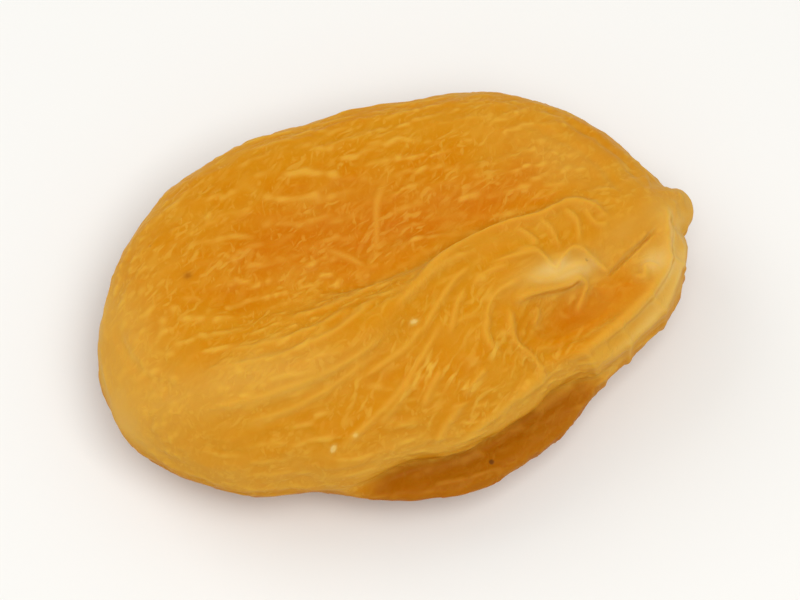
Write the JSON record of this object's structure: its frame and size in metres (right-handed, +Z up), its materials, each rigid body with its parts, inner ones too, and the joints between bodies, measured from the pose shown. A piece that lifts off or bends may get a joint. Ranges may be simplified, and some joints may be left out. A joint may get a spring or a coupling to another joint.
{
  "type": "dried apricot",
  "caption": "Whole pitted dried apricot lying flat: a wrinkled golden oval with a shallow dish where the pit was, a fold beside it and a puckered mouth at the stem end.",
  "frame": {"origin": "on the surface that the fruit lies on, under the middle of its box", "axes": "+X along the fruit towards the puckered mouth at its stem end, +Y across it, away from the side where the lower lip stands out, +Z up through its thickness"},
  "size_m": [0.043, 0.029, 0.0121],
  "materials": {
    "apricot_flesh": "soft translucent golden amber, finely wrinkled, with a low satin sheen and paler rims"
  },
  "bodies": {
    "root": {"apricot": "apricot_flesh"}
  },
  "joints": []
}
